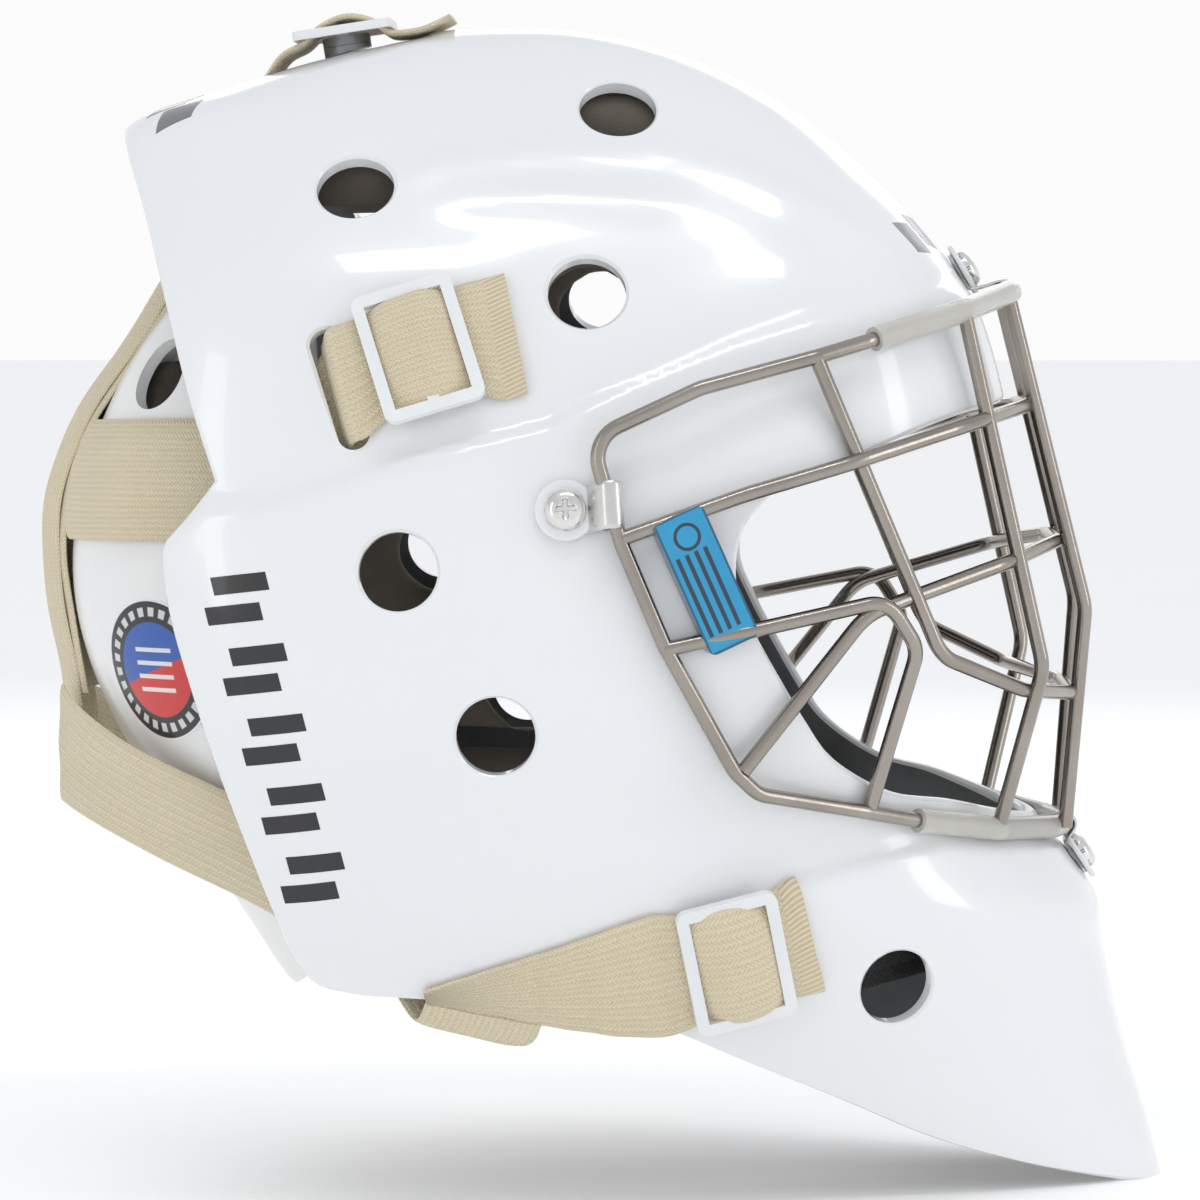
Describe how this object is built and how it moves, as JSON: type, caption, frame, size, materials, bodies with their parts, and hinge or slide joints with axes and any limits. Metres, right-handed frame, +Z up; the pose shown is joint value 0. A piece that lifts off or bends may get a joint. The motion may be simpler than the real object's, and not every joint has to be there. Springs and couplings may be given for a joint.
{
  "type": "goalie mask with wire cage",
  "caption": "Ice hockey goalie mask: glossy moulded shell, bolted wire face cage, foam liner, chin sling and a backplate held by elastic straps.",
  "frame": {"origin": "centre of the wearer's head at ear level, on the mid-plane", "axes": "+X forwards out of the face opening, +Y to the wearer's left, +Z up through the crown"},
  "size_m": [0.3126, 0.2244, 0.315],
  "materials": {
    "shell_white": "high gloss moulded",
    "backplate_white": "satin moulded",
    "liner_foam": "closed-cell foam, skinned",
    "clip_steel": "polished",
    "screw_steel": "bright",
    "clear_washer": "translucent",
    "label_blue": "printed film",
    "wire_steel": "polished stainless wire",
    "clear_sleeve": "clear vinyl tube",
    "badge": "printed film",
    "webbing_black": "woven",
    "black_plastic": "moulded",
    "slide_white": "moulded",
    "elastic_beige": "knitted elastic",
    "stud_grey": "moulded"
  },
  "bodies": {
    "mask": {"cage_brow_bar": "wire_steel", "cage_cheek_bar_left": "wire_steel", "cage_cheek_bar_right": "wire_steel", "cage_clip_brow": "clip_steel", "cage_clip_chin": "clip_steel", "cage_clip_left": "clip_steel", "cage_clip_right": "clip_steel", "cage_eye_bar": "wire_steel", "cage_inner_upright_left": "wire_steel", "cage_inner_upright_right": "wire_steel", "cage_label": "label_blue", "cage_mouth_bar": "wire_steel", "cage_outer_upright_left": "wire_steel", "cage_outer_upright_right": "wire_steel", "cage_rim": "wire_steel", "cage_screws": "screw_steel", "chin_studs": "black_plastic", "crown_pad_front": "liner_foam", "crown_pad_rear": "liner_foam", "ear_pad_left": "liner_foam", "ear_pad_right": "liner_foam", "forehead_pad": "liner_foam", "jaw_pad_left": "liner_foam", "jaw_pad_right": "liner_foam", "jaw_strap_left": "elastic_beige", "jaw_strap_right": "elastic_beige", "rim_sleeve_chin": "clear_sleeve", "rim_sleeve_top": "clear_sleeve", "screw_washers": "clear_washer", "shell": "shell_white", "side_strap_left": "elastic_beige", "side_strap_right": "elastic_beige", "temple_pad_left": "liner_foam", "temple_pad_right": "liner_foam", "threaded_inserts": "screw_steel", "top_strap": "elastic_beige", "top_stud": "stud_grey"},
    "backplate": {"backplate": "backplate_white", "backplate_pad": "liner_foam", "upper_rear_strap": "elastic_beige", "rear_strap": "elastic_beige", "lower_rear_strap_left": "elastic_beige", "lower_rear_strap_right": "elastic_beige", "backplate_sticker": "badge"},
    "chin_sling": {"chin_cup": "black_plastic", "chin_cup_lining": "liner_foam", "chin_strap_left": "webbing_black", "chin_strap_right": "webbing_black"},
    "top_buckle": {"top_socket": "stud_grey", "top_slide": "slide_white", "top_strap_tail": "elastic_beige"},
    "side_slide_left": {"side_slide_left": "slide_white"},
    "side_slide_right": {"side_slide_right": "slide_white"},
    "jaw_slide_left": {"jaw_slide_left": "slide_white"},
    "jaw_slide_right": {"jaw_slide_right": "slide_white"}
  },
  "joints": [
    {"name": "backplate_tilt", "type": "hinge", "parent": "mask", "child": "backplate", "pos_m": [-0.1, 0, 0.095], "axis": [0, 1, 0], "range_deg": [0, 20], "stiffness_Nm_per_rad": 1.2},
    {"name": "chin_sling_swing", "type": "hinge", "parent": "mask", "child": "chin_sling", "pos_m": [0.08, 0, -0.1], "axis": [0, 1, 0], "range_deg": [-14, 0]},
    {"name": "top_stud_pull", "type": "slide", "parent": "mask", "child": "top_buckle", "axis": [-0.15, 0, 0.9887], "range_m": [0, 0.006]},
    {"name": "side_slide_travel_left", "type": "slide", "parent": "mask", "child": "side_slide_left", "axis": [0.9536, -0.09, 0.2875], "range_m": [-0.006, 0.006]},
    {"name": "jaw_slide_travel_left", "type": "slide", "parent": "mask", "child": "jaw_slide_left", "axis": [0.9618, -0.1418, 0.2342], "range_m": [-0.006, 0.006]},
    {"name": "side_slide_travel_right", "type": "slide", "parent": "mask", "child": "side_slide_right", "axis": [0.9536, 0.09, 0.2875], "range_m": [-0.006, 0.006]},
    {"name": "jaw_slide_travel_right", "type": "slide", "parent": "mask", "child": "jaw_slide_right", "axis": [0.9618, 0.1418, 0.2342], "range_m": [-0.006, 0.006]}
  ]
}
